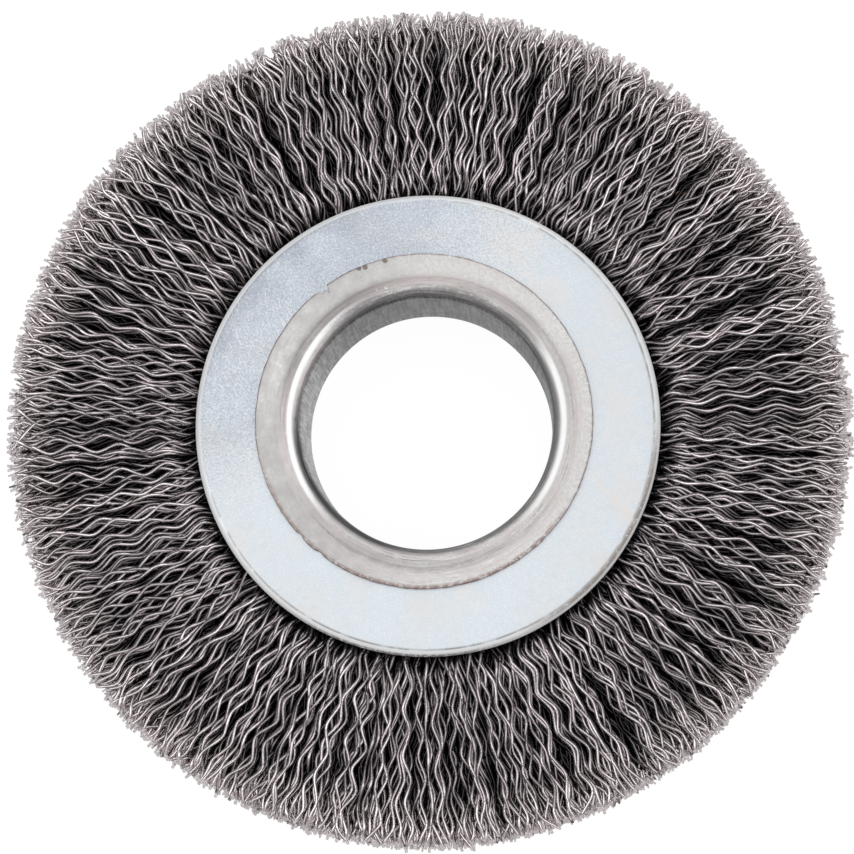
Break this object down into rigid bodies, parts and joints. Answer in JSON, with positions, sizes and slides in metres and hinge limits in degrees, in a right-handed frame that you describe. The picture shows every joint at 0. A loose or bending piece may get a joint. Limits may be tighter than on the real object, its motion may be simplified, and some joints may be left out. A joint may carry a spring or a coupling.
{
  "type": "wire wheel brush",
  "caption": "Round brush of crimped steel wires held between two plated steel discs by a rolled steel sleeve with a large through bore.",
  "frame": {"origin": "bottom centre of the brush lying flat on its rear face, on the axis of its bore", "axes": "+Z along the axis of the bore, out of the front face; +X and +Y lie in the plane of the wheel"},
  "size_m": [0.1724, 0.1724, 0.0252],
  "materials": {
    "zinc_plate": "satin",
    "sleeve_steel": "satin",
    "core_steel": "satin",
    "wire_steel": "satin"
  },
  "bodies": {
    "root": {"hub_sleeve": "sleeve_steel", "front_plate": "zinc_plate", "rear_plate": "zinc_plate", "core_ring": "core_steel", "wire_tuft_01": "wire_steel", "wire_tuft_02": "wire_steel", "wire_tuft_03": "wire_steel", "wire_tuft_04": "wire_steel", "wire_tuft_05": "wire_steel", "wire_tuft_06": "wire_steel", "wire_tuft_07": "wire_steel", "wire_tuft_08": "wire_steel", "wire_tuft_09": "wire_steel", "wire_tuft_10": "wire_steel", "wire_tuft_11": "wire_steel", "wire_tuft_12": "wire_steel", "wire_tuft_13": "wire_steel", "wire_tuft_14": "wire_steel", "wire_tuft_15": "wire_steel", "wire_tuft_16": "wire_steel", "wire_tuft_17": "wire_steel", "wire_tuft_18": "wire_steel", "wire_tuft_19": "wire_steel", "wire_tuft_20": "wire_steel", "wire_tuft_21": "wire_steel", "wire_tuft_22": "wire_steel", "wire_tuft_23": "wire_steel", "wire_tuft_24": "wire_steel", "wire_tuft_25": "wire_steel", "wire_tuft_26": "wire_steel", "wire_tuft_27": "wire_steel", "wire_tuft_28": "wire_steel", "wire_tuft_29": "wire_steel", "wire_tuft_30": "wire_steel", "wire_tuft_31": "wire_steel", "wire_tuft_32": "wire_steel"}
  },
  "joints": []
}
